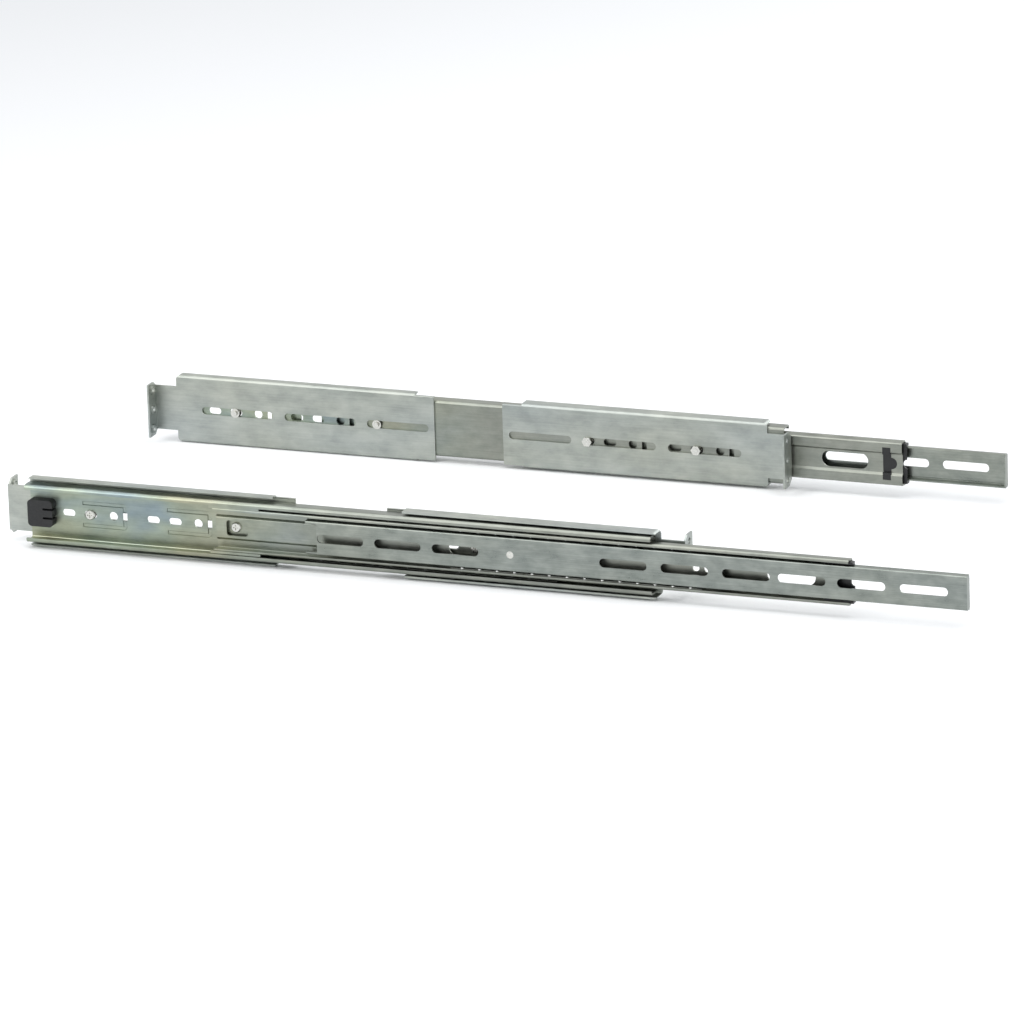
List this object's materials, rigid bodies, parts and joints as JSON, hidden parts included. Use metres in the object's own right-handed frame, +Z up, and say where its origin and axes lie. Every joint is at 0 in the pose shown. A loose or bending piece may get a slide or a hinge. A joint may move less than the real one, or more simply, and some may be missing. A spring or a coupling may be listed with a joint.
{
  "type": "sliding server rail pair",
  "caption": "Pair of ball-bearing telescopic rails for rack servers: slotted adjustable rack brackets, three nested steel channels, ball cages and a stop.",
  "frame": {"origin": "on the floor, midway between the two rails and midway along their length at rest", "axes": "+X towards the front, the way the rails extend; +Y towards the left-hand rail's server side; +Z up"},
  "size_m": [0.7746, 0.3074, 0.055],
  "materials": {
    "zinc_steel_yellow": "zinc plated cold-rolled steel with a faint yellow and blue passivation tint",
    "zinc_steel": "zinc plated cold-rolled steel, dull grey",
    "cage_steel": "plain rolled strip",
    "ball_steel": "polished ball steel",
    "screw_steel": "bright zinc plated",
    "spring_steel": "tempered spring strip",
    "black_rubber": "matt moulded rubber",
    "black_plastic": "moulded engineering plastic"
  },
  "bodies": {
    "rack_side": {"outer_member_left": "zinc_steel_yellow", "rubber_bumper_left": "black_rubber", "clamp_screws_left": "screw_steel", "rear_nuts_left": "screw_steel", "front_nuts_left": "screw_steel", "outer_member_right": "zinc_steel_yellow", "rubber_bumper_right": "black_rubber", "clamp_screws_right": "screw_steel", "rear_nuts_right": "screw_steel", "front_nuts_right": "screw_steel"},
    "rear_bracket_left_body": {"rear_bracket_left": "zinc_steel"},
    "front_bracket_left_body": {"front_bracket_left": "zinc_steel"},
    "middle_left": {"middle_member_left": "zinc_steel_yellow", "guide_clip_left": "black_plastic"},
    "inner_left": {"inner_member_left": "zinc_steel", "release_rivet_left": "zinc_steel"},
    "release_left": {"release_spring_left": "spring_steel"},
    "outer_balls_left_body": {"outer_ball_cage_left": "cage_steel", "outer_balls_left": "ball_steel"},
    "inner_balls_left_body": {"inner_ball_cage_left": "cage_steel", "inner_balls_left": "ball_steel"},
    "rear_bracket_right_body": {"rear_bracket_right": "zinc_steel"},
    "front_bracket_right_body": {"front_bracket_right": "zinc_steel"},
    "middle_right": {"middle_member_right": "zinc_steel_yellow", "guide_clip_right": "black_plastic"},
    "inner_right": {"inner_member_right": "zinc_steel", "release_rivet_right": "zinc_steel"},
    "release_right": {"release_spring_right": "spring_steel"},
    "outer_balls_right_body": {"outer_ball_cage_right": "cage_steel", "outer_balls_right": "ball_steel"},
    "inner_balls_right_body": {"inner_ball_cage_right": "cage_steel", "inner_balls_right": "ball_steel"}
  },
  "joints": [
    {"name": "middle_slide_left", "type": "slide", "parent": "rack_side", "child": "middle_left", "axis": [1, 0, 0], "range_m": [-0.0735, 0.17]},
    {"name": "inner_slide_left", "type": "slide", "parent": "middle_left", "child": "inner_left", "axis": [1, 0, 0], "range_m": [-0.066, 0.184]},
    {"name": "outer_ball_roll_left", "type": "slide", "parent": "rack_side", "child": "outer_balls_left_body", "axis": [1, 0, 0], "range_m": [-0.03675, 0.085]},
    {"name": "inner_ball_roll_left", "type": "slide", "parent": "middle_left", "child": "inner_balls_left_body", "axis": [1, 0, 0], "range_m": [-0.033, 0.092]},
    {"name": "rear_bracket_adjust_left", "type": "slide", "parent": "rack_side", "child": "rear_bracket_left_body", "axis": [1, 0, 0], "range_m": [-0.025, 0.004]},
    {"name": "front_bracket_adjust_left", "type": "slide", "parent": "rack_side", "child": "front_bracket_left_body", "axis": [1, 0, 0], "range_m": [-0.03, 0.0005]},
    {"name": "release_flex_left", "type": "hinge", "parent": "inner_left", "child": "release_left", "pos_m": [-0.04175, 0.1521, 0.0275], "axis": [0, 0, 1], "range_deg": [-3, 0], "stiffness_Nm_per_rad": 1.2},
    {"name": "middle_slide_right", "type": "slide", "parent": "rack_side", "child": "middle_right", "axis": [1, 0, 0], "range_m": [-0.1335, 0.11]},
    {"name": "inner_slide_right", "type": "slide", "parent": "middle_right", "child": "inner_right", "axis": [1, 0, 0], "range_m": [-0.076, 0.174]},
    {"name": "outer_ball_roll_right", "type": "slide", "parent": "rack_side", "child": "outer_balls_right_body", "axis": [1, 0, 0], "range_m": [-0.06675, 0.055]},
    {"name": "inner_ball_roll_right", "type": "slide", "parent": "middle_right", "child": "inner_balls_right_body", "axis": [1, 0, 0], "range_m": [-0.038, 0.087]},
    {"name": "rear_bracket_adjust_right", "type": "slide", "parent": "rack_side", "child": "rear_bracket_right_body", "axis": [1, 0, 0], "range_m": [-0.025, 0.004]},
    {"name": "front_bracket_adjust_right", "type": "slide", "parent": "rack_side", "child": "front_bracket_right_body", "axis": [1, 0, 0], "range_m": [-0.03, 0.0005]},
    {"name": "release_flex_right", "type": "hinge", "parent": "inner_right", "child": "release_right", "pos_m": [0.02825, -0.1521, 0.0275], "axis": [0, 0, 1], "range_deg": [0, 3], "stiffness_Nm_per_rad": 1.2}
  ],
  "couplings": [
    {"joint": "outer_ball_roll_left", "follows": "middle_slide_left", "ratio": 0.5},
    {"joint": "inner_ball_roll_left", "follows": "inner_slide_left", "ratio": 0.5},
    {"joint": "outer_ball_roll_right", "follows": "middle_slide_right", "ratio": 0.5},
    {"joint": "inner_ball_roll_right", "follows": "inner_slide_right", "ratio": 0.5}
  ]
}
